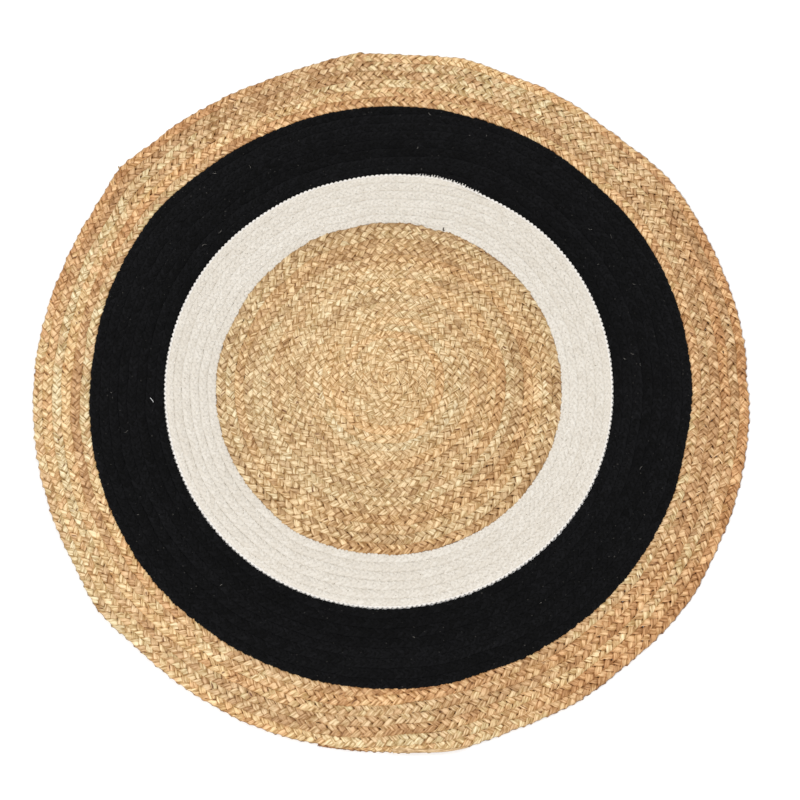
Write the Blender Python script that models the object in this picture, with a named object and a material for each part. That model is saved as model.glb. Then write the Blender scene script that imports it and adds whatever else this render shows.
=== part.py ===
"""Round braided rug, lying flat: a coil of jute braid, a ring of cream cotton, a ring of black cotton and a last ring
of jute.

Each zone is one flat solid. Its top is raised in rows, one for each turn of the braid. The rows run round the rug and
step out by one row along a short stretch, the join, where the maker sews one turn on to the next.
Units are metres, with +Z up and the origin under the middle of the rug.
"""

import math
from collections import namedtuple

import bmesh
import bpy
from mathutils import Vector

# Steps round the rug, and the steps across one row of braid.
STEPS_ROUND = 60
LINES_PER_ROW = 2

SEWN_GAP = 0.0003
MERGE_DISTANCE = 0.00001
SMOOTH_UP_TO_DEG = 60.0

# The rug was started a little off its middle.
SPIRAL_START = Vector((-0.0044, 0.0130))

# The outer edge: the underside draws in, and the side is upright between these heights.
EDGE_DRAWN_IN = 0.0026
EDGE_LOW = 0.0026
EDGE_HIGH = 0.0056

# What one row of each yarn measures: its crown, and the dip between two rows.
Yarn = namedtuple("Yarn", "crown dip base_color roughness")
JUTE = Yarn(crown=0.0098, dip=0.0066, base_color=(0.67, 0.42, 0.19, 1.0), roughness=0.75)
CREAM_COTTON = Yarn(crown=0.0088, dip=0.0068, base_color=(0.80, 0.76, 0.69, 1.0), roughness=0.92)
BLACK_COTTON = Yarn(crown=0.0088, dip=0.0068, base_color=(0.007, 0.007, 0.008, 1.0), roughness=0.95)

# A bulge stands out of a circle, or into it where its height is below zero.
Bulge = namedtuple("Bulge", "direction_deg half_width_deg height")

CENTRE_BULGES = (
    Bulge(75, 4, -0.0033),
    Bulge(104, 4, -0.0029),
    Bulge(134, 10, -0.0037),
    Bulge(155, 9, -0.0041),
    Bulge(191, 51, 0.0025),
    Bulge(238, 10, 0.0036),
    Bulge(266, 6, -0.0016),
    Bulge(328, 28, 0.0025),
)
CREAM_BULGES = (
    Bulge(0, 22, -0.0029),
    Bulge(63, 13, -0.0027),
    Bulge(75, 7, 0.0035),
    Bulge(102, 10, -0.0028),
    Bulge(124, 15, -0.0034),
    Bulge(177, 43, -0.0012),
    Bulge(289, 34, -0.0031),
)
BLACK_BULGES = (
    Bulge(32, 34, 0.0043),
    Bulge(45, 10, -0.0034),
    Bulge(122, 19, -0.0041),
    Bulge(142, 7, 0.0034),
    Bulge(176, 14, -0.0038),
    Bulge(220, 10, 0.0017),
    Bulge(289, 4, -0.0032),
    Bulge(349, 7, -0.0033),
    Bulge(356, 8, 0.0019),
)
RUG_BULGES = (
    Bulge(1, 4, -0.0036),
    Bulge(36, 7, 0.0055),
    Bulge(50, 7, -0.0049),
    Bulge(78, 5, 0.0069),
    Bulge(96, 6, 0.0079),
    Bulge(112, 15, -0.0070),
    Bulge(140, 4, 0.0086),
    Bulge(158, 18, -0.0047),
    Bulge(191, 39, -0.0061),
    Bulge(219, 5, 0.0076),
    Bulge(226, 17, -0.0032),
    Bulge(280, 5, 0.0050),
    Bulge(300, 4, 0.0023),
    Bulge(323, 7, 0.0049),
)

# row_growth is how much wider a zone's last row is than its first, as a share of a row. join_deg is where the turns
# step out by one row, and join_width_deg how long that takes. It is a whole number of the steps round the rug, so that
# the steps of neighbouring zones face each other.
Zone = namedtuple("Zone", "node yarn radius rows row_growth join_deg join_width_deg bulges")
ZONES = (
    Zone("centre_coil", JUTE, 0.2862, 20, 0.17, 66, 72, CENTRE_BULGES),
    Zone("cream_band", CREAM_COTTON, 0.3757, 6, 0.0, 72, 30, CREAM_BULGES),
    Zone("black_band", BLACK_COTTON, 0.5025, 8, 0.0, 78, 30, BLACK_BULGES),
    Zone("outer_band", JUTE, 0.6005, 6, 0.0, 270, 30, RUG_BULGES),
)


def remove_all_objects():
    for found in list(bpy.data.objects):
        bpy.data.objects.remove(found)


def edge_radius(zone, angle):
    """How far a zone's edge is from the middle of the rug in that direction."""
    radius = zone.radius
    for bulge in zone.bulges:
        away = (math.degrees(angle) - bulge.direction_deg + 180) % 360 - 180
        radius += bulge.height * math.exp(-((away / bulge.half_width_deg) ** 2))
    return radius


def start_radius(inside, angle):
    """How far from the middle a zone starts: just outside the zone that it is sewn round, if there is one."""
    if inside is None:
        return 0.0
    return edge_radius(inside, angle) + SEWN_GAP


def smooth_step(share):
    share = min(1.0, max(0.0, share))
    return share * share * (3 - 2 * share)


def row_step(zone, turned):
    """How many rows a line has moved in after this share of a turn, which starts across from the join."""
    width = zone.join_width_deg / 360
    return smooth_step((turned - 0.5) / width + 0.5)


def share_out(zone, place):
    """How far a place is from a zone's inner edge to its outer one, from 0 to 1, when it is this many rows out."""
    share = place / zone.rows
    return share - zone.row_growth / 2 * share * (1 - share)


def line_place(zone, line, turned):
    """Rows from the zone's inner edge to this line, and how far up the row's crown it is, from 0 to 1."""
    step = row_step(zone, turned)

    def clamped(at):
        return min(float(zone.rows), max(0.0, at - step))

    place = clamped(line)
    row_low, row_high = clamped(math.floor(line)), clamped(math.floor(line) + 1)
    share = line - math.floor(line)
    rise = math.sin(math.pi * share) * min(1.0, 2 * (place - row_low), 2 * (row_high - place))
    return place, max(0.0, rise)


def raised_top(zone, inside):
    """The top face: a grid of lines and steps bent round the rug, with its open ends sewn together."""
    mesh = bmesh.new()
    lines = (zone.rows + 1) * LINES_PER_ROW
    bmesh.ops.create_grid(mesh, x_segments=STEPS_ROUND, y_segments=lines, size=0.5)
    for vert in mesh.verts:
        turned = round((vert.co.x + 0.5) * STEPS_ROUND) / STEPS_ROUND
        line = round((vert.co.y + 0.5) * lines) / LINES_PER_ROW
        angle = math.radians(zone.join_deg + 180) + math.tau * turned
        place, rise = line_place(zone, line, turned)
        share = share_out(zone, place)
        start = start_radius(inside, angle)
        radius = start + (edge_radius(zone, angle) - start) * share
        off_middle = Vector((0.0, 0.0))
        if inside is None:
            off_middle = SPIRAL_START * (1 - share)
            rise = 1.0 if place == 0.0 else rise
        vert.co.x = off_middle.x + radius * math.cos(angle)
        vert.co.y = off_middle.y + radius * math.sin(angle)
        vert.co.z = zone.yarn.dip + (zone.yarn.crown - zone.yarn.dip) * rise
    bmesh.ops.remove_doubles(mesh, verts=mesh.verts, dist=MERGE_DISTANCE)
    return mesh


def rims_of(mesh):
    """The open edges of the top face, innermost rim first."""
    left = {edge for edge in mesh.edges if edge.is_boundary}
    rims = []
    while left:
        rim, reach = set(), [next(iter(left))]
        while reach:
            edge = reach.pop()
            if edge in left:
                left.discard(edge)
                rim.add(edge)
                reach += [other for vert in edge.verts for other in vert.link_edges]
        rims.append(list(rim))
    return sorted(rims, key=lambda rim: rim[0].verts[0].co.length)


def drop_rim(mesh, rim, height, draw_in=0.0):
    """Carries a rim down to this height, drawn in towards the middle, and gives the new rim."""
    made = bmesh.ops.extrude_edge_only(mesh, edges=rim)["geom"]
    for vert in (item for item in made if isinstance(item, bmesh.types.BMVert)):
        flat = Vector((vert.co.x, vert.co.y))
        flat *= 1 - draw_in / flat.length
        vert.co = (flat.x, flat.y, height)
    return [item for item in made if isinstance(item, bmesh.types.BMEdge)]


def close_underside(mesh, is_outer):
    """Drops the rims to the ground and closes the flat underside."""
    rims = rims_of(mesh)
    if is_outer:
        outer_side = drop_rim(mesh, rims[-1], EDGE_HIGH)
        outer_side = drop_rim(mesh, outer_side, EDGE_LOW)
        rims[-1] = drop_rim(mesh, outer_side, 0.0, EDGE_DRAWN_IN)
        rims[0] = drop_rim(mesh, rims[0], 0.0)
    else:
        rims = [drop_rim(mesh, rim, 0.0) for rim in rims]
    if len(rims) == 1:
        bmesh.ops.contextual_create(mesh, geom=rims[0])
    else:
        bmesh.ops.bridge_loops(mesh, edges=rims[0] + rims[1])
    bmesh.ops.recalc_face_normals(mesh, faces=mesh.faces)


def yarn_material(name, yarn):
    material = bpy.data.materials.new(name)
    material.use_nodes = True
    surface = material.node_tree.nodes["Principled BSDF"]
    surface.inputs["Base Color"].default_value = yarn.base_color
    surface.inputs["Roughness"].default_value = yarn.roughness
    surface.inputs["Metallic"].default_value = 0.0
    return material


def make_zone(zone, inside, is_outer):
    mesh = raised_top(zone, inside)
    close_underside(mesh, is_outer)
    data = bpy.data.meshes.new(zone.node)
    mesh.to_mesh(data)
    mesh.free()
    data.shade_smooth()
    data.set_sharp_from_angle(angle=math.radians(SMOOTH_UP_TO_DEG))
    data.materials.append(yarn_material(zone.node, zone.yarn))
    made = bpy.data.objects.new(zone.node, data)
    bpy.context.scene.collection.objects.link(made)
    return made


def middle_of(made):
    """The middle of the pieces' box, on the ground."""
    corners = [Vector(corner) for piece in made for corner in piece.bound_box]
    middle_x = (min(c.x for c in corners) + max(c.x for c in corners)) / 2
    middle_y = (min(c.y for c in corners) + max(c.y for c in corners)) / 2
    return Vector((middle_x, middle_y, 0.0))


def build_rug():
    insides = (None, *ZONES[:-1])
    made = [make_zone(zone, inside, zone is ZONES[-1]) for zone, inside in zip(ZONES, insides)]
    middle = middle_of(made)
    for piece in made:
        piece.location = -middle


remove_all_objects()
build_rug()
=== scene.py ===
"""Round braided rug: plaits of jute and of cotton, wound flat round one middle and shown on a pale floor."""

import math
import random
from collections import namedtuple

import bmesh
import bpy
import numpy as np
from bpy.props import FloatProperty, FloatVectorProperty, PointerProperty
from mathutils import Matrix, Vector
from mathutils.noise import noise_vector, seed_set


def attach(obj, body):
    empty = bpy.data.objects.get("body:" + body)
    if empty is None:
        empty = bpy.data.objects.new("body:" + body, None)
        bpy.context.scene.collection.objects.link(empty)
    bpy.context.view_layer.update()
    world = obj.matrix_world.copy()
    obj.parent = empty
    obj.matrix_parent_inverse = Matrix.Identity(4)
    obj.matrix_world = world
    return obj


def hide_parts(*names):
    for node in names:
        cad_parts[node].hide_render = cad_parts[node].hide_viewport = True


bl_info = {
    "name": "Round Braided Rug",
    "version": (1, 0, 0),
    "blender": (4, 5, 0),
    "location": "View3D > Sidebar > Rug",
    "description": "Builds a round rug of plaited jute with a cream and a black cotton band",
    "category": "Object",
}

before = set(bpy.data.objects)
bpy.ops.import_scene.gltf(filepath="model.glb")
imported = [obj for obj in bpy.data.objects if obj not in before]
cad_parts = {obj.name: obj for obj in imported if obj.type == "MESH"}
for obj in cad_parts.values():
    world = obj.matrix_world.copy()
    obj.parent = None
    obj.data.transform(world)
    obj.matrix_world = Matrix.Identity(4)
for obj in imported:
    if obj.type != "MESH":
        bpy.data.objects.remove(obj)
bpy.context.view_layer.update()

# ---- the rug's layout, in metres: the same zones, bulges and joins as the solids ----

SEWN_GAP = 0.0003
MERGE_DISTANCE = 0.000001
OUTLINE_STEPS = 60
SPIRAL_START = Vector((-0.0044, 0.0130))

Bulge = namedtuple("Bulge", "direction_deg half_width_deg height")
# row_growth is how much wider a zone's last row is than its first, as a share of a row. The tucks say how far
# the plait is drawn in from the zone's inner and outer edge, and fade how much paler and more even its inner
# rows are than its outer ones.
Zone = namedtuple(
    "Zone", "node radius rows row_growth inner_tuck outer_tuck fade join_deg join_width_deg bulges"
)

CENTRE_COIL = Zone(
    "centre_coil",
    radius=0.2862,
    rows=20,
    row_growth=0.17,
    inner_tuck=0.0,
    outer_tuck=0.0,
    fade=0.6,
    join_deg=66,
    join_width_deg=72,
    bulges=(
        Bulge(75, 4, -0.0033),
        Bulge(104, 4, -0.0029),
        Bulge(134, 10, -0.0037),
        Bulge(155, 9, -0.0041),
        Bulge(191, 51, 0.0025),
        Bulge(238, 10, 0.0036),
        Bulge(266, 6, -0.0016),
        Bulge(328, 28, 0.0025),
    ),
)
CREAM_BAND = Zone(
    "cream_band",
    radius=0.3757,
    rows=6,
    row_growth=0.0,
    inner_tuck=0.0,
    outer_tuck=0.0026,
    fade=0.0,
    join_deg=72,
    join_width_deg=30,
    bulges=(
        Bulge(0, 22, -0.0029),
        Bulge(63, 13, -0.0027),
        Bulge(75, 7, 0.0035),
        Bulge(102, 10, -0.0028),
        Bulge(124, 15, -0.0034),
        Bulge(177, 43, -0.0012),
        Bulge(289, 34, -0.0031),
    ),
)
BLACK_BAND = Zone(
    "black_band",
    radius=0.5025,
    rows=8,
    row_growth=0.0,
    inner_tuck=0.0022,
    outer_tuck=0.0,
    fade=0.0,
    join_deg=78,
    join_width_deg=30,
    bulges=(
        Bulge(32, 34, 0.0043),
        Bulge(45, 10, -0.0034),
        Bulge(122, 19, -0.0041),
        Bulge(142, 7, 0.0034),
        Bulge(176, 14, -0.0038),
        Bulge(220, 10, 0.0017),
        Bulge(289, 4, -0.0032),
        Bulge(349, 7, -0.0033),
        Bulge(356, 8, 0.0019),
    ),
)
OUTER_BAND = Zone(
    "outer_band",
    radius=0.6005,
    rows=6,
    row_growth=0.0,
    inner_tuck=0.0,
    outer_tuck=0.0010,
    fade=0.0,
    join_deg=270,
    join_width_deg=30,
    bulges=(
        Bulge(1, 4, -0.0036),
        Bulge(36, 7, 0.0055),
        Bulge(50, 7, -0.0049),
        Bulge(78, 5, 0.0069),
        Bulge(96, 6, 0.0079),
        Bulge(112, 15, -0.0070),
        Bulge(140, 4, 0.0086),
        Bulge(158, 18, -0.0047),
        Bulge(191, 39, -0.0061),
        Bulge(219, 5, 0.0076),
        Bulge(226, 17, -0.0032),
        Bulge(280, 5, 0.0050),
        Bulge(300, 4, 0.0023),
        Bulge(323, 7, 0.0049),
    ),
)
INSIDE_OF = {CENTRE_COIL: None, CREAM_BAND: CENTRE_COIL, BLACK_BAND: CREAM_BAND, OUTER_BAND: BLACK_BAND}

# ---- the plaits ----

# Hand-plaited rows sway a little; rows side by side sway together.
SWAY = 0.0022
SWAY_LENGTH = 0.045
# Noise starts from the clock unless it is given a seed. This one makes the rows sway the same way in each
# run.
SWAY_SEED = 1795547013

STRANDS = 3
# The smaller this is, the more like a cosine a strand's way across the plait is.
WAVE_FLANK = 0.3
# A strand rolls over by half a turn in this stretch of its wave, round each edge of the plait.
ROLL_OVER_DEG = 150
# The coil starts as a true spiral and turns into stepped rings over this many turns.
SPIRAL_TURNS = 9
# The way round is reckoned for a turn of this radius at least.
TIGHTEST_TURN = 0.006

# The plait starts and ends in the join, this share of the join's length from its middle.
JOIN_SHARE_PLAITED = 0.36
# Its row narrows there. The strands have their full size in a row down to 1 / SIZE_PER_ROW wide, and shrink
# to NARROWEST of it at most. Their height starts from END_HEIGHT and rises by HEIGHT_PER_ROW for a whole row,
# as shares of the full one. PITCH_KEPT of the pitch doesn't shrink with them.
NARROWEST = 0.45
SIZE_PER_ROW = 1.6
END_HEIGHT = 0.72
HEIGHT_PER_ROW = 0.5
PITCH_KEPT = 0.6

# The pitch changes over these lengths, and by these shares of what the girth does.
PITCH_LENGTH = 0.035
PITCH_SHARE = 0.8
SLOW_PITCH_LENGTH = 0.45
SLOW_PITCH_SHARE = 0.5
# A strand's girth and height change over this many lobes.
LUMP_LOBES = 1.1
# The strands are made of handfuls of fibre, so tone and hue change along them about every this far.
BATCH_LENGTH = 0.40
HUE_LENGTH = 0.30

# The rug lies pressed flat: no strand is nearer the floor than this, and what stands above this share of the
# crown is pressed back by this share.
FLOOR_GAP = 0.0002
PRESSED_FROM = 0.88
PRESSED_BACK = 0.62

# How a strand of each yarn behaves. sides are its section's corners, and steps the stations in its whole wave
# across the plait and back. width is a share of the pitch, squeeze how far rows press into each other, and
# swell how much its girth rises and falls within a lobe. The others say how uneven the strand is: girth as a
# share, drift sideways and lift in metres, and tone from lobe to lobe, batch and hue over a longer way as
# shares of its colours.
Yarn = namedtuple("Yarn", "slot sides steps width squeeze swell girth drift lift tone batch hue")
CENTRE_JUTE = Yarn(
    "jute",
    sides=8,
    steps=13,
    width=0.79,
    squeeze=0.0010,
    swell=0.12,
    girth=0.15,
    drift=0.0010,
    lift=0.0007,
    tone=0.50,
    batch=0.29,
    hue=0.38,
)
OUTER_JUTE = CENTRE_JUTE._replace(tone=0.44, batch=0.46, hue=0.52)
CREAM_COTTON = Yarn(
    "cream_cotton",
    sides=6,
    steps=12,
    width=0.90,
    squeeze=0.0012,
    swell=0.03,
    girth=0.05,
    drift=0.0005,
    lift=0.0003,
    tone=0.35,
    batch=0.24,
    hue=0.0,
)
BLACK_COTTON = CREAM_COTTON._replace(slot="black_cotton")

# What the jute colour is multiplied by from lobe to lobe, from the darkest to the palest.
CENTRE_TINTS = ("D4BEA3", "E8D6BE", "F0E2CB", "F6EAD5", "F6F0DE", "FFFEF6")
OUTER_TINTS = ("CEAE8F", "E6C9AC", "EED9C0", "F6E1C8", "F2E7CC", "FFF9E7")

# ---- sewing and loose ends ----

# The thread that overcasts the cream band's edge bulges out at each stitch and thins between them.
OVERCAST_PITCH = 0.0080
OVERCAST_THICKNESS = 0.0050
OVERCAST_DRAWN_IN = 0.0024
OVERCAST_BULGE = 0.0014
OVERCAST_THINNEST = 0.40
POINTS_PER_STITCH = 6

# Loose bits that the photograph shows. Each starts this far from the middle of the rug, leans this far from
# pointing straight out, bows to one side by a share of its length and thins to BIT_END at its ends.
Bit = namedtuple("Bit", "direction_deg radius lean_deg length bow")
BIT_END = 0.5
POINTS_PER_BIT = 5
WHITE_HAIR = (Bit(183.4, 0.3989, 125, 0.0099, 0.06),)
DARK_THREAD_END = (
    Bit(71.3, 0.2862, 8, 0.0060, 0.10),
    Bit(70.9, 0.2872, 75, 0.0034, 0.10),
)
BARK_FLECKS = (
    Bit(320.7, 0.5480, 70, 0.0050, 0.05),
    Bit(5.4, 0.5630, 100, 0.0050, 0.05),
)
STRAY_FIBRES = (
    Bit(140.4, 0.6020, -16, 0.0085, 0.12),
    Bit(81.2, 0.6005, 92, 0.0170, 0.22),
)

DARK_THREAD_THICKNESS = 0.0022
HAIR_THICKNESS = 0.0008
BARK_THICKNESS = 0.0024
STRAY_THICKNESS = 0.0026
# The white hair lies this far above the cotton, and the stray fibres at this share of the jute's height.
HAIR_LIFT = 0.0006
STRAY_HEIGHT = 0.75

# The cream thread stands out over the black in a comb along this stretch. The real comb is finer than this;
# it is drawn as coarse as it needs to be to show. Each thread starts a little inside the band's edge, and is
# up to the jitter out of its place, as a share of their spacing.
COMB_FROM_DEG = 66.0
COMB_TO_DEG = 83.5
COMB_THREADS = 23
COMB_THICKNESS = 0.0019
COMB_INSIDE = 0.002
COMB_JITTER = 0.1
COMB_LEAN_DEG = (-6, 4)
COMB_LENGTH = (0.0035, 0.0055)
COMB_BOW = 0.04
COMB_SEED = 7

# Hairs of lint lie anywhere on the black band but its margins, this far above the cotton.
LINT_HAIRS = 26
LINT_THICKNESS = 0.0006
LINT_LIFT = 0.0003
LINT_LENGTH = (0.002, 0.008)
LINT_BOW = 0.15
LINT_SEED = 8
BAND_MARGIN = 0.008

# The braid's tail lies flat along the rim. It starts at TAIL_START of its size, fills out to all of it within
# a tenth of its way and is thinned by TAIL_THINS_BY at its end. Its middle is TAIL_SUNK of its thickness down.
TAIL_FROM_DEG = 270.6
TAIL_TO_DEG = 282.0
TAIL_STATIONS = 36
TAIL_WIDTH = 0.0102
TAIL_THICKNESS = 0.0060
TAIL_OVERHANG = 0.0022
TAIL_START = 0.7
TAIL_FILLS_OUT = 3
TAIL_THINS_BY = 0.75
TAIL_SUNK = 1 / 3
TAIL_TINT = 0.4
TAIL_HUE = 0.9
# The tail may lie this much higher than the plaits.
TAIL_CROWN = 1.2

# ---- patterns in the materials, in metres across ----

# Real jute fibres are a twentieth of a millimetre across, and the cotton's yarns under one millimetre. They
# are drawn coarser, so that they show. What runs along a strand is drawn out: along it, it changes only by
# this share as fast as across.
FIBRE_WIDTH = 0.0012
FIBRE_DRAWN_OUT = 0.12
BUNDLE_WIDTH = 0.0022
BUNDLE_DRAWN_OUT = 0.35
BARK_WIDTH = 0.0026
RIM_PATCH = 0.007
YARN_WIDTH = 0.0016
YARN_DRAWN_OUT = 0.3
MOTTLE = 0.0018
SEAM_DASH = 0.0026
SPECK = 0.0022
THREAD_TONE = 0.0025
# For the patterns that run along it, a strand is round and has this radius.
STRAND_RADIUS = 0.0038
# Noise of scale 1 has blotches of about this size.
BLOTCH = 0.6

# Jute is warmer in one handful of fibre and cooler in another.
JUTE_HUES = ((0.1, "FFF4E8"), (0.9, "F7FCFF"))
# What the jute is multiplied by for painted brown shade at its strands' rims and where they dive under each
# other, and the colour of bark.
RIM_SHADE = "CCAE7A"
DIVE_SHADE = "90672E"
BARK_BROWN = "6E4420"
MULTIPLY = {"data_type": "RGBA", "blend_type": "MULTIPLY"}

# ---- the stage and the photograph's view ----

FLOOR_HALF = 6.0
FLOOR_COLOUR = (0.9, 0.9, 0.9, 1)
SKY_COLOUR = (1, 1, 1, 1)
SKY_STRENGTH = 0.6
Lamp = namedtuple("Lamp", "name place size power")
LAMPS = (
    Lamp("key_light", (-1.6, -1.8, 5.2), 1.5, 190.0),
    Lamp("fill_light", (1.6, 1.7, 3.4), 2.5, 45.0),
)

LENS_MM = 74.56
SENSOR_MM = 36.0
ELEVATION_DEG = 75.51
CAMERA_DISTANCE = 2.757
AIM_FROM_MIDDLE = Vector((0.0179, -0.0273))
AIM_HEIGHT = 0.009


def edge_radius(zone, angle):
    """How far a zone's edge is from the middle of the rug in that direction."""
    radius = zone.radius
    for bulge in zone.bulges:
        away = (np.degrees(angle) - bulge.direction_deg + 180) % 360 - 180
        radius = radius + bulge.height * np.exp(-((away / bulge.half_width_deg) ** 2))
    return radius


def start_radius(zone, angle):
    """How far from the middle a zone starts: just outside the zone that it is sewn round, if there is one."""
    inside = INSIDE_OF[zone]
    if inside is None:
        return 0.0
    return edge_radius(inside, angle) + SEWN_GAP


def outline_middle():
    """The middle of the outline's box, which the solids have at their origin."""
    angles = [math.tau * step / OUTLINE_STEPS for step in range(OUTLINE_STEPS)]
    xs = [edge_radius(OUTER_BAND, angle) * math.cos(angle) for angle in angles]
    ys = [edge_radius(OUTER_BAND, angle) * math.sin(angle) for angle in angles]
    return Vector(((min(xs) + max(xs)) / 2, (min(ys) + max(ys)) / 2))


MIDDLE = outline_middle()


def place_radius(zone, rows_out, angle):
    """How far from the middle a place this many rows out from a zone's inner edge is, in this direction."""
    share = rows_out / zone.rows
    share -= zone.row_growth / 2 * share * (1 - share)
    start = start_radius(zone, angle)
    return float(start + (edge_radius(zone, angle) - start) * share)


def rug_point(zone, rows_out, angle):
    """The ground point this many rows out from a zone's inner edge, in this direction."""
    radius = place_radius(zone, rows_out, angle)
    point = Vector((radius * math.cos(angle), radius * math.sin(angle))) - MIDDLE
    if INSIDE_OF[zone] is None:
        point += SPIRAL_START * (1 - rows_out / zone.rows)
    free = min(1.0, zone.rows - rows_out, rows_out)
    sway = noise_vector(Vector((point.x, point.y, zone.rows)) / SWAY_LENGTH)
    return point + SWAY * free * sway.xy


def smooth_step(share):
    share = min(1.0, max(0.0, share))
    return share * share * (3 - 2 * share)


def linear(hex_colour):
    """An sRGB colour, written as six hex digits, as linear red, green, blue and alpha."""
    parts = [int(hex_colour[at : at + 2], 16) / 255 for at in (0, 2, 4)]
    return [c / 12.92 if c <= 0.04045 else ((c + 0.055) / 1.055) ** 2.4 for c in parts] + [1.0]


# ---- settings ----


class RugSettings(bpy.types.PropertyGroup):
    """The sizes and colours that can be changed"""

    jute: FloatVectorProperty(
        name="Jute",
        description="Palest colour of the jute",
        default=linear("FCECD1"),
        size=4,
        subtype="COLOR",
    )
    cream: FloatVectorProperty(
        name="Cream",
        description="Colour of the cream cotton",
        default=linear("DDD7CD"),
        size=4,
        subtype="COLOR",
    )
    black: FloatVectorProperty(
        name="Black",
        description="Colour of the black cotton",
        default=linear("141416"),
        size=4,
        subtype="COLOR",
    )
    jute_pitch: FloatProperty(
        name="Jute pitch",
        description="From one lobe of the jute plait to the next along an edge",
        default=0.0160,
        unit="LENGTH",
    )
    cream_pitch: FloatProperty(
        name="Cream pitch",
        description="From one lobe of the cream plait to the next along an edge",
        default=0.0123,
        unit="LENGTH",
    )
    black_pitch: FloatProperty(
        name="Black pitch",
        description="From one lobe of the black plait to the next along an edge",
        default=0.0132,
        unit="LENGTH",
    )
    jute_thickness: FloatProperty(
        name="Jute strand",
        description="Thickness of a flattened jute strand",
        default=0.0052,
        unit="LENGTH",
    )
    cotton_thickness: FloatProperty(
        name="Cotton strand",
        description="Thickness of a flattened cotton strand",
        default=0.0068,
        unit="LENGTH",
    )
    jute_height: FloatProperty(
        name="Jute height",
        description="Height of the jute above the floor",
        default=0.0098,
        unit="LENGTH",
    )
    cotton_height: FloatProperty(
        name="Cotton height",
        description="Height of the cotton above the floor",
        default=0.0090,
        unit="LENGTH",
    )


def settings():
    return bpy.context.scene.braided_rug


# ---- plaits ----


def join_width(zone, turn):
    """What share of a turn the step out by one row takes: all of the coil's first, then less and less."""
    narrow = zone.join_width_deg / 360
    if INSIDE_OF[zone] is None:
        return max(narrow, 1.0 - turn / SPIRAL_TURNS)
    return narrow


def row_at(zone, turns):
    """The braid's inner and outer edge, in rows, this many clockwise turns from the zone's join."""
    nearest = round(turns)
    width = join_width(zone, nearest)
    if abs(turns - nearest) < width / 2:
        row, step = nearest, 1 - smooth_step((turns - nearest) / width + 0.5)
    else:
        row, step = math.floor(turns), 0.0
    low = min(float(zone.rows), max(0.0, row - step))
    high = min(float(zone.rows), max(0.0, row + 1 - step))
    return low, high


def side_wave(phase):
    """A strand's place across the plait, from 1 to -1 and back, a little straighter than a cosine."""
    return math.asin(WAVE_FLANK * math.cos(phase)) / math.asin(WAVE_FLANK)


def strand_roll(phase):
    """How far a strand has rolled over: half a turn round one edge of the plait, and back round the other."""
    wave = (phase / math.tau) % 1.0 * 360
    if wave > 270:
        wave -= 360
    if wave < 90:
        return math.pi * smooth_step((wave + ROLL_OVER_DEG / 2) / ROLL_OVER_DEG)
    return math.pi * (1 - smooth_step((wave - 180 + ROLL_OVER_DEG / 2) / ROLL_OVER_DEG))


class Wander:
    """A value that changes smoothly and at random along the plait, up to a size either way."""

    def __init__(self, seed, step, size):
        self.rng = random.Random(seed)
        self.step, self.size = step, size
        self.values = []

    def at(self, where):
        place = where / self.step
        low = math.floor(place)
        while len(self.values) < low + 3:
            self.values.append(self.rng.uniform(-1, 1))
        share = smooth_step(place - low)
        return self.size * (self.values[low] * (1 - share) + self.values[low + 1] * share)


Plait = namedtuple("Plait", "pitch strand_width strand_thickness height")
# Where the plait is cut across: breadth is in rows, and share_left is how much of the zone is outside it.
Cut = namedtuple("Cut", "middle out reach breadth size share_left radius")
Station = namedtuple("Station", "place size roll tint hue side along")


def plait_sizes(yarn):
    own = settings()
    pitch, thickness, height = {
        "jute": (own.jute_pitch, own.jute_thickness, own.jute_height),
        "cream_cotton": (own.cream_pitch, own.cotton_thickness, own.cotton_height),
        "black_cotton": (own.black_pitch, own.cotton_thickness, own.cotton_height),
    }[yarn.slot]
    return Plait(pitch, pitch * yarn.width, thickness, height)


def cut_across(zone, yarn, plait, turns):
    """Where the plait is, and how wide, this many clockwise turns from the zone's join."""
    angle = math.radians(zone.join_deg) - math.tau * turns
    low, high = row_at(zone, turns)
    out = Vector((math.cos(angle), math.sin(angle)))
    inner = rug_point(zone, low, angle) + out * zone.inner_tuck * max(0.0, 1 - low)
    outer = rug_point(zone, high, angle) - out * zone.outer_tuck * max(0.0, high - zone.rows + 1)
    size = min(1.0, max(NARROWEST, SIZE_PER_ROW * (high - low)))
    reach = max(0.0, (outer - inner).length / 2 - plait.strand_thickness / 2 * size + yarn.squeeze)
    radius = max(place_radius(zone, (low + high) / 2, angle), TIGHTEST_TURN)
    share_left = 1 - (low + high) / 2 / zone.rows
    return Cut((inner + outer) / 2, out, reach, high - low, size, share_left, radius)


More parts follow.
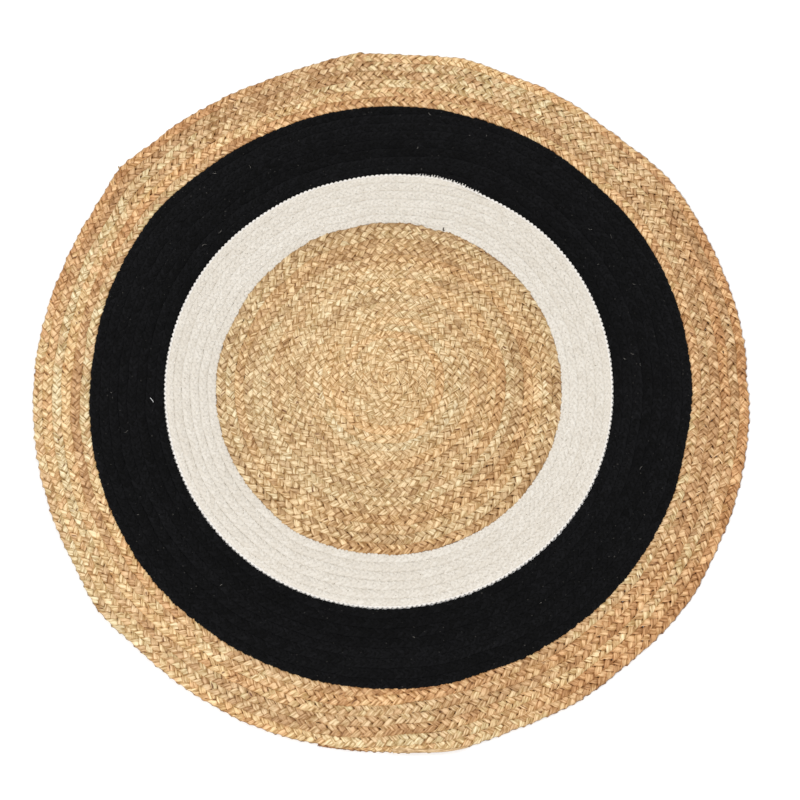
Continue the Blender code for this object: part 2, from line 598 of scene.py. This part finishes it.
def plait_stations(zone, yarn, seed):
    """The stations of the three strands of a plait that is wound through a zone."""
    seed_set(SWAY_SEED)
    plait = plait_sizes(yarn)

    def for_each_strand(own_seed, step, size):
        return [Wander(seed + own_seed + strand, step, size) for strand in range(STRANDS)]

    pitch = Wander(seed, PITCH_LENGTH, PITCH_SHARE * yarn.girth)
    slow_pitch = Wander(seed + 1, SLOW_PITCH_LENGTH, SLOW_PITCH_SHARE * yarn.girth)
    hue = Wander(seed + 2, HUE_LENGTH, yarn.hue)
    batch = Wander(seed + 3, BATCH_LENGTH, yarn.batch)
    drift = for_each_strand(10, plait.pitch, yarn.drift)
    lift = for_each_strand(20, LUMP_LOBES * plait.pitch, yarn.lift)
    girth = for_each_strand(30, LUMP_LOBES * plait.pitch, yarn.girth)
    tint = for_each_strand(40, plait.pitch, yarn.tone)
    strands = [[] for _ in range(STRANDS)]
    rise = (plait.height - plait.strand_thickness) / 2
    lead = zone.join_width_deg / 360 * JOIN_SHARE_PLAITED
    turns = 0.0 if INSIDE_OF[zone] is None else -lead
    phase, along = 0.0, 0.0
    while turns < zone.rows + lead:
        cut = cut_across(zone, yarn, plait, turns)
        uneven = 1 - zone.fade * cut.share_left
        mean_tint = 0.5 + zone.fade * (cut.share_left - 0.5)
        lowered = min(1.0, END_HEIGHT + HEIGHT_PER_ROW * cut.breadth)
        for strand in range(STRANDS):
            own_phase = math.tau * strand / STRANDS - phase
            wave = side_wave(own_phase)
            flat = cut.middle + cut.out * (cut.reach * wave + uneven * drift[strand].at(along) * cut.size)
            height = plait.height / 2 + rise * math.sin(2 * own_phase) + uneven * lift[strand].at(along)
            swell = 1 + uneven * girth[strand].at(along) - yarn.swell * math.cos(4 * own_phase)
            strands[strand].append(
                Station(
                    place=(flat.x, flat.y, height * lowered),
                    size=cut.size * swell,
                    roll=strand_roll(own_phase),
                    tint=mean_tint + uneven * (tint[strand].at(along) + batch.at(along)),
                    hue=0.5 + hue.at(along),
                    side=abs(wave),
                    along=along,
                )
            )
        stretch = 1 + pitch.at(along) + slow_pitch.at(along)
        shrunk = PITCH_KEPT + (1 - PITCH_KEPT) * cut.size
        advance = plait.pitch * STRANDS / yarn.steps * stretch * shrunk
        turns += advance / (math.tau * cut.radius)
        phase += math.tau / yarn.steps
        along += advance
    return strands


def ellipse_section(name, width, thickness, sides):
    """A closed curve that gives a strand its flattened section."""
    curve = bpy.data.curves.new(name, "CURVE")
    curve.dimensions = "2D"
    spline = curve.splines.new("POLY")
    spline.points.add(sides - 1)
    for at, point in enumerate(spline.points):
        turn = math.tau * (at + 0.5) / sides
        point.co = (width / 2 * math.cos(turn), thickness / 2 * math.sin(turn), 0, 1)
    spline.use_cyclic_u = True
    made = bpy.data.objects.new(name, curve)
    bpy.context.scene.collection.objects.link(made)
    return made


def pressed(height, crown):
    """The height of a point once the rug lies pressed flat."""
    height = max(height, FLOOR_GAP)
    return height - PRESSED_BACK * max(0.0, height - PRESSED_FROM * crown)


def mesh_from(name, curve, material):
    """Turns a bevelled curve into a smooth mesh of one material, and removes the curve."""
    laid = bpy.data.objects.new(name + "_line", curve)
    bpy.context.scene.collection.objects.link(laid)
    bpy.context.view_layer.update()
    mesh = bpy.data.meshes.new_from_object(laid.evaluated_get(bpy.context.evaluated_depsgraph_get()))
    bpy.data.objects.remove(laid)
    bpy.data.curves.remove(curve)
    mesh.name = name
    mesh.shade_smooth()
    mesh.materials.clear()
    mesh.materials.append(material)
    return mesh


def store_on_strand(mesh, stations, sides):
    """Stores on each point of a strand what its material reads, such as its tint and where round the strand
    it is. The tube's rings of points come in the stations' order, and then the rings of its two caps."""
    rings = [*stations, stations[0], stations[-1]]
    if len(mesh.vertices) != len(rings) * sides:
        raise RuntimeError(f"{mesh.name}: {len(mesh.vertices)} vertices for {len(rings)} rings")
    turn = math.tau * (np.tile(np.arange(sides), len(rings)) + 0.5) / sides
    own_values = {"around_x": np.cos(turn), "around_y": np.sin(turn)}
    for attribute in ("tint", "hue", "side", "along"):
        own_values[attribute] = np.repeat([getattr(ring, attribute) for ring in rings], sides)
    for attribute, values in own_values.items():
        added = mesh.attributes.new(attribute, "FLOAT", "POINT")
        added.data.foreach_set("value", values.astype(np.float32))


def press_and_close(mesh, crown):
    """Presses a strand flat and sews its caps to its sides."""
    sewn = bmesh.new()
    sewn.from_mesh(mesh)
    for vert in sewn.verts:
        vert.co.z = pressed(vert.co.z, crown)
    bmesh.ops.remove_doubles(sewn, verts=sewn.verts, dist=MERGE_DISTANCE)
    sewn.to_mesh(mesh)
    sewn.free()


def make_strand(name, stations, section, material, crown):
    """One strand of a plait as a mesh tube."""
    curve = bpy.data.curves.new(name + "_line", "CURVE")
    curve.dimensions = "3D"
    curve.twist_mode = "Z_UP"
    curve.bevel_mode = "OBJECT"
    curve.bevel_object = section
    curve.use_fill_caps = True
    spline = curve.splines.new("POLY")
    spline.points.add(len(stations) - 1)
    places = np.array([(*station.place, 1.0) for station in stations], np.float32)
    spline.points.foreach_set("co", places.ravel())
    spline.points.foreach_set("radius", np.array([station.size for station in stations], np.float32))
    spline.points.foreach_set("tilt", np.array([station.roll for station in stations], np.float32))
    mesh = mesh_from(name, curve, material)
    store_on_strand(mesh, stations, len(section.data.splines[0].points))
    press_and_close(mesh, crown)
    made = bpy.data.objects.new(name, mesh)
    bpy.context.scene.collection.objects.link(made)
    return made


def make_plait(zone, yarn, material, seed):
    """The three strands of a zone. Each is a long flat ribbon of fibre."""
    plait = plait_sizes(yarn)
    section = ellipse_section("strand_section", plait.strand_width, plait.strand_thickness, yarn.sides)
    for strand, stations in enumerate(plait_stations(zone, yarn, seed), start=1):
        piece = make_strand(f"{zone.node}_strand_{strand}", stations, section, material, plait.height)
        add_to_rug(piece, zone)
    bpy.data.objects.remove(section)


def add_to_rug(piece, zone):
    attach(piece, "root")
    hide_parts(zone.node)


# ---- sewing and loose ends ----


def make_threads(name, lines, thickness, material, is_ring=False):
    """Threads as one mesh. Each line is a list of (x, y, z, share of the thickness)."""
    curve = bpy.data.curves.new(name + "_line", "CURVE")
    curve.dimensions = "3D"
    curve.bevel_depth = thickness / 2
    curve.bevel_resolution = 1
    curve.use_fill_caps = True
    for line in lines:
        spline = curve.splines.new("POLY")
        spline.points.add(len(line) - 1)
        for point, (x, y, z, share) in zip(spline.points, line):
            point.co = (x, y, z, 1.0)
            point.radius = share
        spline.use_cyclic_u = is_ring
    made = bpy.data.objects.new(name, mesh_from(name, curve, material))
    bpy.context.scene.collection.objects.link(made)
    return made


def overcast_line(zone, height):
    """The overcast edge of a band, drawn in at each stitch."""
    count = round(math.tau * zone.radius / OVERCAST_PITCH)
    line = []
    for at in range(count * POINTS_PER_STITCH):
        angle = math.tau * at / (count * POINTS_PER_STITCH)
        full = math.sin(math.pi * at / POINTS_PER_STITCH) ** 2
        flat = rug_point(zone, zone.rows, angle)
        out = Vector((math.cos(angle), math.sin(angle))) * (OVERCAST_BULGE * full - OVERCAST_DRAWN_IN)
        share = OVERCAST_THINNEST + (1 - OVERCAST_THINNEST) * full**0.5
        line.append((flat.x + out.x, flat.y + out.y, height, share))
    return line


def bit_line(bit, height):
    """A loose bit as a line that thins at its ends."""
    angle = math.radians(bit.direction_deg)
    start = Vector((math.cos(angle), math.sin(angle))) * bit.radius - MIDDLE
    heading = angle + math.radians(bit.lean_deg)
    way = Vector((math.cos(heading), math.sin(heading)))
    line = []
    for at in range(POINTS_PER_BIT):
        share = at / (POINTS_PER_BIT - 1)
        arch = math.sin(math.pi * share)
        flat = start + bit.length * (way * share + way.orthogonal() * bit.bow * arch)
        line.append((flat.x, flat.y, height, BIT_END + (1 - BIT_END) * arch))
    return line


def comb_bits():
    """The thread ends that stand out over the black, close together."""
    rng = random.Random(COMB_SEED)
    bits = []
    for at in range(COMB_THREADS):
        place = at + rng.uniform(-COMB_JITTER, COMB_JITTER)
        direction = COMB_FROM_DEG + (COMB_TO_DEG - COMB_FROM_DEG) * place / COMB_THREADS
        radius = edge_radius(CREAM_BAND, math.radians(direction)) - COMB_INSIDE
        bits.append(Bit(direction, radius, rng.uniform(*COMB_LEAN_DEG), rng.uniform(*COMB_LENGTH), COMB_BOW))
    return bits


def lint_bits():
    """Hairs scattered over the black band."""
    rng = random.Random(LINT_SEED)
    low, high = CREAM_BAND.radius + BAND_MARGIN, BLACK_BAND.radius - BAND_MARGIN
    bits = []
    for _ in range(LINT_HAIRS):
        direction, radius = rng.uniform(0, 360), rng.uniform(low, high)
        bits.append(Bit(direction, radius, rng.uniform(0, 360), rng.uniform(*LINT_LENGTH), LINT_BOW))
    return bits


def make_tail(material):
    """The end of the last strand, laid flat along the rim."""
    stations, along = [], 0.0
    for at in range(TAIL_STATIONS):
        share = at / (TAIL_STATIONS - 1)
        angle = math.radians(TAIL_FROM_DEG + (TAIL_TO_DEG - TAIL_FROM_DEG) * share)
        full = min(1.0, TAIL_START + TAIL_FILLS_OUT * share) * (1 - TAIL_THINS_BY * share)
        out = Vector((math.cos(angle), math.sin(angle))) * (TAIL_OVERHANG - full * TAIL_WIDTH / 2)
        flat = rug_point(OUTER_BAND, OUTER_BAND.rows, angle) + out
        height = settings().jute_height - full * TAIL_THICKNESS * TAIL_SUNK
        stations.append(Station((flat.x, flat.y, height), full, 0.0, TAIL_TINT, TAIL_HUE, 0.0, along))
        along += OUTER_BAND.radius * math.radians(TAIL_TO_DEG - TAIL_FROM_DEG) / TAIL_STATIONS
    section = ellipse_section("tail_section", TAIL_WIDTH, TAIL_THICKNESS, OUTER_JUTE.sides)
    crown = TAIL_CROWN * settings().jute_height
    piece = make_strand("outer_band_tail", stations, section, material, crown)
    bpy.data.objects.remove(section)
    add_to_rug(piece, OUTER_BAND)


# ---- materials ----


def add_node(material, kind, inputs, output=0, stops=(), **own_settings):
    """Adds a shader node and gives one of its outputs. inputs maps an input's name or number to a socket, a
    value or a hex colour, and stops are the places and hex colours of a colour ramp."""
    tree = material.node_tree
    node = tree.nodes.new(kind)
    for name, value in own_settings.items():
        setattr(node, name, value)
    for name, value in inputs.items():
        if isinstance(value, bpy.types.NodeSocket):
            tree.links.new(value, node.inputs[name])
        else:
            node.inputs[name].default_value = linear(value) if isinstance(value, str) else value
    if stops:
        while len(node.color_ramp.elements) < len(stops):
            node.color_ramp.elements.new(1.0)
        for element, (place, colour) in zip(node.color_ramp.elements, stops):
            element.position = place
            element.color = linear(colour)
    return node.outputs[output]


def noise_scale(across):
    """The scale of noise whose blotches are about this many metres across."""
    return BLOTCH / across


def even_stops(colours):
    return [(at / (len(colours) - 1), colour) for at, colour in enumerate(colours)]


def along_strand(material, drawn_out):
    """Coordinates that run with a strand: drawn out along it, so that noise in them makes fibres."""
    parts = {}
    for axis, attribute, scale in (
        ("X", "along", drawn_out),
        ("Y", "around_x", STRAND_RADIUS),
        ("Z", "around_y", STRAND_RADIUS),
    ):
        value = add_node(material, "ShaderNodeAttribute", {}, "Fac", attribute_name=attribute)
        parts[axis] = add_node(material, "ShaderNodeMath", {0: value, 1: scale}, operation="MULTIPLY")
    return add_node(material, "ShaderNodeCombineXYZ", parts)


def finish_surface(material, inputs):
    """Puts these values and sockets on the material's surface."""
    surface = material.node_tree.nodes["Principled BSDF"]
    for name, value in inputs.items():
        if isinstance(value, bpy.types.NodeSocket):
            material.node_tree.links.new(value, surface.inputs[name])
        else:
            surface.inputs[name].default_value = value


def jute_tone(material, tints):
    """Each lobe's own straw tint of the jute colour, warmer in one handful of fibre and cooler in another."""
    tint = add_node(material, "ShaderNodeAttribute", {}, "Fac", attribute_name="tint")
    colour = add_node(material, "ShaderNodeValToRGB", {"Fac": tint}, stops=even_stops(tints))
    colour = add_node(material, "ShaderNodeMix", {0: 1.0, 6: colour, 7: settings().jute}, 2, **MULTIPLY)
    hue = add_node(material, "ShaderNodeAttribute", {}, "Fac", attribute_name="hue")
    hue = add_node(material, "ShaderNodeValToRGB", {"Fac": hue}, stops=JUTE_HUES)
    return add_node(material, "ShaderNodeMix", {0: 1.0, 6: colour, 7: hue}, 2, **MULTIPLY)


def shade_between_fibres(material, colour, fibres, bundles):
    """Darkens the gaps between fibres, and between the bundles that they lie in."""
    stops = ((0.35, "B4A07C"), (0.61, "FFFFFF"))
    streaks = add_node(material, "ShaderNodeValToRGB", {"Fac": fibres}, stops=stops)
    colour = add_node(material, "ShaderNodeMix", {0: 1.0, 6: colour, 7: streaks}, 2, **MULTIPLY)
    tufts = add_node(material, "ShaderNodeTexNoise", {"Vector": bundles, "Scale": noise_scale(BUNDLE_WIDTH)})
    stops = ((0.34, "D4C6AE"), (0.5, "FFFFFF"))
    tufts = add_node(material, "ShaderNodeValToRGB", {"Fac": tufts}, stops=stops)
    return add_node(material, "ShaderNodeMix", {0: 1.0, 6: colour, 7: tufts}, 2, **MULTIPLY)


def paint_shade_on_rims(material, colour, where):
    """Paints brown shade, in patches, on a flattened strand's two rims, where its lobes meet the next ones."""
    patches = add_node(material, "ShaderNodeTexNoise", {"Vector": where, "Scale": noise_scale(RIM_PATCH)})
    inputs = {"Value": patches, "From Min": 0.38, "From Max": 0.60}
    patches = add_node(material, "ShaderNodeMapRange", inputs)
    rim = add_node(material, "ShaderNodeAttribute", {}, "Fac", attribute_name="around_x")
    rim = add_node(material, "ShaderNodeMath", {0: rim}, operation="ABSOLUTE")
    rim = add_node(material, "ShaderNodeMapRange", {"Value": rim, "From Min": 0.70, "From Max": 1.0})
    rim = add_node(material, "ShaderNodeMath", {0: rim, 1: patches}, operation="MULTIPLY")
    return add_node(material, "ShaderNodeMix", {0: rim, 6: colour, 7: RIM_SHADE}, 2, **MULTIPLY)


def paint_shade_on_dives(material, colour, where):
    """Paints brown shade on the strands at half the rug's height, where they dive under each other."""
    height = add_node(material, "ShaderNodeSeparateXYZ", {"Vector": where}, "Z")
    inputs = {0: height, 1: settings().jute_height / 2}
    off_middle = add_node(material, "ShaderNodeMath", inputs, operation="SUBTRACT")
    off_middle = add_node(material, "ShaderNodeMath", {0: off_middle}, operation="ABSOLUTE")
    inputs = {"Value": off_middle, "From Min": 0.0005, "From Max": 0.0028, "To Min": 1.0, "To Max": 0.0}
    dive = add_node(material, "ShaderNodeMapRange", inputs)
    return add_node(material, "ShaderNodeMix", {0: dive, 6: colour, 7: DIVE_SHADE}, 2, **MULTIPLY)


def strew_bark(material, colour, bundles):
    """Adds a few dark flecks of bark along the fibres."""
    inputs = {"Vector": bundles, "Scale": noise_scale(BARK_WIDTH), "Detail": 1.0}
    flecks = add_node(material, "ShaderNodeTexNoise", inputs)
    flecks = add_node(material, "ShaderNodeMapRange", {"Value": flecks, "From Min": 0.70, "From Max": 0.76})
    return add_node(material, "ShaderNodeMix", {0: flecks, 6: colour, 7: BARK_BROWN}, 2, data_type="RGBA")


def jute_material(name, tints):
    """Retted jute fibre, plaited: each lobe its own straw tint, fibres along the strand, painted brown shade
    at the strands' rims and where they dive under each other, a few dark flecks of bark and a satin shine."""
    material = bpy.data.materials.new(name)
    material.use_nodes = True
    where = add_node(material, "ShaderNodeTexCoord", {}, "Object")
    drawn_out = along_strand(material, FIBRE_DRAWN_OUT)
    inputs = {"Vector": drawn_out, "Scale": noise_scale(FIBRE_WIDTH), "Detail": 3.0, "Roughness": 0.6}
    fibres = add_node(material, "ShaderNodeTexNoise", inputs)
    bundles = along_strand(material, BUNDLE_DRAWN_OUT)
    colour = jute_tone(material, tints)
    colour = shade_between_fibres(material, colour, fibres, bundles)
    colour = paint_shade_on_rims(material, colour, where)
    colour = paint_shade_on_dives(material, colour, where)
    colour = strew_bark(material, colour, bundles)
    raised = add_node(material, "ShaderNodeBump", {"Height": fibres, "Strength": 0.8, "Distance": 0.0009})
    satin = {"Roughness": 0.50, "Specular IOR Level": 0.33}
    finish_surface(material, {"Base Color": colour, "Normal": raised, **satin})
    return material


# A cotton's painted shade in the folds between its yarns and along its seams, the colour of its specks, and
# what its darkest lobe is multiplied by. fuzz is how much its nap catches the light.
Cotton = namedtuple("Cotton", "fold seam speck shade roughness fuzz")
CREAM_FINISH = Cotton("DAD4CA", "C8C1B6", "9A9082", "F4F2EF", roughness=0.95, fuzz=0.5)
BLACK_FINISH = Cotton("0A0A0B", "040404", "3A3835", "A8A8A8", roughness=1.0, fuzz=0.0)


def paint_shade_along_seams(material, colour, seam, where):
    """Paints shade into the gaps along the sewn seams between rows, as broken lines along the plait's edges.
    """
    dashes = add_node(material, "ShaderNodeTexNoise", {"Vector": where, "Scale": noise_scale(SEAM_DASH)})
    dashes = add_node(material, "ShaderNodeMapRange", {"Value": dashes, "From Min": 0.46, "From Max": 0.60})
    side = add_node(material, "ShaderNodeAttribute", {}, "Fac", attribute_name="side")
    side = add_node(material, "ShaderNodeMapRange", {"Value": side, "From Min": 0.86, "From Max": 0.98})
    dashes = add_node(material, "ShaderNodeMath", {0: dashes, 1: side}, operation="MULTIPLY")
    return add_node(material, "ShaderNodeMix", {0: dashes, 6: colour, 7: seam}, 2, data_type="RGBA")


def strew_specks(material, colour, speck, where):
    """Adds a few specks of seed or lint."""
    inputs = {"Vector": where, "Scale": noise_scale(SPECK), "Detail": 0.0}
    specks = add_node(material, "ShaderNodeTexNoise", inputs)
    specks = add_node(material, "ShaderNodeMapRange", {"Value": specks, "From Min": 0.82, "From Max": 0.85})
    return add_node(material, "ShaderNodeMix", {0: specks, 6: colour, 7: speck}, 2, data_type="RGBA")


def cotton_material(name, colour, finish):
    """Soft-spun cotton, plaited: matt, with fine yarns along the strand, painted shade in the folds between
    them and along the sewn seams, and a few specks of seed or lint."""
    material = bpy.data.materials.new(name)
    material.use_nodes = True
    where = add_node(material, "ShaderNodeTexCoord", {}, "Object")
    drawn_out = along_strand(material, YARN_DRAWN_OUT)
    inputs = {"Vector": drawn_out, "Scale": noise_scale(YARN_WIDTH), "Roughness": 0.6}
    yarns = add_node(material, "ShaderNodeTexNoise", inputs)
    plies = add_node(material, "ShaderNodeMapRange", {"Value": yarns, "From Min": 0.34, "From Max": 0.62})
    # The fold colour is painted shade in the folds between the yarns.
    colour = add_node(material, "ShaderNodeMix", {0: plies, 6: finish.fold, 7: colour}, 2, data_type="RGBA")
    mottle = add_node(material, "ShaderNodeTexNoise", {"Vector": where, "Scale": noise_scale(MOTTLE)})
    stops = ((0.36, "F5F4F2"), (0.52, "FFFFFF"))
    mottle = add_node(material, "ShaderNodeValToRGB", {"Fac": mottle}, stops=stops)
    colour = add_node(material, "ShaderNodeMix", {0: 1.0, 6: colour, 7: mottle}, 2, **MULTIPLY)
    tint = add_node(material, "ShaderNodeAttribute", {}, "Fac", attribute_name="tint")
    stops = ((0.1, finish.shade), (0.9, "FFFFFF"))
    tint = add_node(material, "ShaderNodeValToRGB", {"Fac": tint}, stops=stops)
    colour = add_node(material, "ShaderNodeMix", {0: 1.0, 6: colour, 7: tint}, 2, **MULTIPLY)
    colour = paint_shade_along_seams(material, colour, finish.seam, where)
    colour = strew_specks(material, colour, finish.speck, where)
    raised = add_node(material, "ShaderNodeBump", {"Height": yarns, "Strength": 0.35, "Distance": 0.0006})
    matt = {"Roughness": finish.roughness, "Specular IOR Level": 0.15, "Sheen Weight": finish.fuzz}
    finish_surface(material, {"Base Color": colour, "Normal": raised, **matt})
    return material


def thread_material(name, light, dark):
    """A thread, a hair or a loose fibre: its colour wanders between two tones along it."""
    material = bpy.data.materials.new(name)
    material.use_nodes = True
    where = add_node(material, "ShaderNodeTexCoord", {}, "Object")
    tones = add_node(material, "ShaderNodeTexNoise", {"Vector": where, "Scale": noise_scale(THREAD_TONE)})
    tones = add_node(material, "ShaderNodeValToRGB", {"Fac": tones}, stops=((0.36, dark), (0.6, light)))
    finish_surface(material, {"Base Color": tones, "Roughness": 0.85, "Specular IOR Level": 0.2})
    return material


# ---- operators ----


class RUG_OT_centre_coil(bpy.types.Operator):
    """Plait the jute coil in the middle of the rug"""

    bl_idname = "rug.centre_coil"
    bl_label = "Centre coil"

    def execute(self, context):
        jute = jute_material("centre_jute", CENTRE_TINTS)
        make_plait(CENTRE_COIL, CENTRE_JUTE, jute, seed=1)
        lines = [bit_line(bit, settings().jute_height) for bit in DARK_THREAD_END]
        dark = thread_material("dark_thread", "5A5048", "2E2824")
        thread_end = make_threads("centre_coil_thread_end", lines, DARK_THREAD_THICKNESS, dark)
        add_to_rug(thread_end, CENTRE_COIL)
        return {"FINISHED"}


class RUG_OT_cream_band(bpy.types.Operator):
    """Plait the cream cotton band and overcast its edge"""

    bl_idname = "rug.cream_band"
    bl_label = "Cream band"

    def execute(self, context):
        cream = cotton_material("cream_cotton", settings().cream, CREAM_FINISH)
        make_plait(CREAM_BAND, CREAM_COTTON, cream, seed=101)
        line = overcast_line(CREAM_BAND, settings().jute_height - OVERCAST_THICKNESS / 2)
        thread = thread_material("cream_sewing_thread", "E6E2DC", "D6D0C8")
        overcast = make_threads("cream_band_overcast", [line], OVERCAST_THICKNESS, thread, is_ring=True)
        add_to_rug(overcast, CREAM_BAND)
        lines = [bit_line(bit, settings().jute_height) for bit in comb_bits()]
        comb = make_threads("cream_band_comb", lines, COMB_THICKNESS, thread)
        add_to_rug(comb, CREAM_BAND)
        return {"FINISHED"}


class RUG_OT_black_band(bpy.types.Operator):
    """Plait the black cotton band and strew it with lint"""

    bl_idname = "rug.black_band"
    bl_label = "Black band"

    def execute(self, context):
        black = cotton_material("black_cotton", settings().black, BLACK_FINISH)
        make_plait(BLACK_BAND, BLACK_COTTON, black, seed=201)
        top = settings().cotton_height
        lint = thread_material("lint", "8E8A84", "4A4844")
        lines = [bit_line(bit, top + LINT_LIFT) for bit in lint_bits()]
        hairs = make_threads("black_band_lint", lines, LINT_THICKNESS, lint)
        add_to_rug(hairs, BLACK_BAND)
        white = thread_material("white_hair", "FFFFFF", "D8D8D8")
        lines = [bit_line(bit, top + HAIR_LIFT) for bit in WHITE_HAIR]
        hair = make_threads("black_band_white_hair", lines, HAIR_THICKNESS, white)
        add_to_rug(hair, BLACK_BAND)
        return {"FINISHED"}


class RUG_OT_outer_band(bpy.types.Operator):
    """Plait the jute band round the rim and lay down its tail"""

    bl_idname = "rug.outer_band"
    bl_label = "Outer band"

    def execute(self, context):
        jute = jute_material("outer_jute", OUTER_TINTS)
        make_plait(OUTER_BAND, OUTER_JUTE, jute, seed=301)
        make_tail(jute)
        high = settings().jute_height
        bark = thread_material("bark", "5A3A1E", "3A2412")
        lines = [bit_line(bit, high) for bit in BARK_FLECKS]
        flecks = make_threads("outer_band_bark", lines, BARK_THICKNESS, bark)
        add_to_rug(flecks, OUTER_BAND)
        stray = thread_material("stray_jute", "C8A878", "8C7450")
        lines = [bit_line(bit, STRAY_HEIGHT * high) for bit in STRAY_FIBRES]
        fibres = make_threads("outer_band_stray_fibres", lines, STRAY_THICKNESS, stray)
        add_to_rug(fibres, OUTER_BAND)
        return {"FINISHED"}


def lay_floor(scene):
    mesh = bmesh.new()
    bmesh.ops.create_grid(mesh, x_segments=1, y_segments=1, size=FLOOR_HALF)
    data = bpy.data.meshes.new("floor")
    mesh.to_mesh(data)
    mesh.free()
    pale = bpy.data.materials.new("pale_floor")
    pale.use_nodes = True
    pale.node_tree.nodes["Principled BSDF"].inputs["Base Color"].default_value = FLOOR_COLOUR
    data.materials.append(pale)
    floor = bpy.data.objects.new("floor", data)
    scene.collection.objects.link(floor)


def light_softly(scene):
    world = bpy.data.worlds.new("studio")
    world.use_nodes = True
    sky = world.node_tree.nodes["Background"]
    sky.inputs["Color"].default_value = SKY_COLOUR
    sky.inputs["Strength"].default_value = SKY_STRENGTH
    scene.world = world
    for lamp in LAMPS:
        light = bpy.data.lights.new(lamp.name, "AREA")
        light.size = lamp.size
        light.energy = lamp.power
        hung = bpy.data.objects.new(lamp.name, light)
        hung.location = lamp.place
        hung.rotation_euler = (-Vector(lamp.place)).to_track_quat("-Z", "Y").to_euler()
        scene.collection.objects.link(hung)


def set_camera(scene):
    """Puts the camera where the photograph was taken from, steeply above the rug's front edge."""
    lens = bpy.data.cameras.new("camera")
    lens.lens = LENS_MM
    lens.sensor_width = SENSOR_MM
    camera = bpy.data.objects.new("camera", lens)
    scene.collection.objects.link(camera)
    aim = AIM_FROM_MIDDLE - MIDDLE
    target = Vector((aim.x, aim.y, AIM_HEIGHT))
    elevation = math.radians(ELEVATION_DEG)
    back = Vector((0.0, -math.cos(elevation), math.sin(elevation)))
    camera.location = target + back * CAMERA_DISTANCE
    camera.rotation_euler = (-back).to_track_quat("-Z", "Y").to_euler()
    scene.camera = camera


class RUG_OT_stage(bpy.types.Operator):
    """Lay the pale floor, light it softly and set the camera to the photograph's view"""

    bl_idname = "rug.stage"
    bl_label = "Floor, light and camera"

    def execute(self, context):
        lay_floor(context.scene)
        light_softly(context.scene)
        set_camera(context.scene)
        context.scene.view_settings.view_transform = "Standard"
        return {"FINISHED"}


class RUG_PT_panel(bpy.types.Panel):
    bl_idname = "RUG_PT_panel"
    bl_label = "Braided rug"
    bl_space_type = "VIEW_3D"
    bl_region_type = "UI"
    bl_category = "Rug"

    def draw(self, context):
        for step in STEPS:
            self.layout.operator(step.bl_idname)


STEPS = (RUG_OT_centre_coil, RUG_OT_cream_band, RUG_OT_black_band, RUG_OT_outer_band, RUG_OT_stage)
CLASSES = (RugSettings, *STEPS, RUG_PT_panel)


def register():
    for added in CLASSES:
        bpy.utils.register_class(added)
    bpy.types.Scene.braided_rug = PointerProperty(type=RugSettings)


def unregister():
    del bpy.types.Scene.braided_rug
    for added in reversed(CLASSES):
        bpy.utils.unregister_class(added)


def main():
    register()
    bpy.ops.rug.centre_coil()
    bpy.ops.rug.cream_band()
    bpy.ops.rug.black_band()
    bpy.ops.rug.outer_band()
    bpy.ops.rug.stage()


if __name__ == "__main__":
    main()
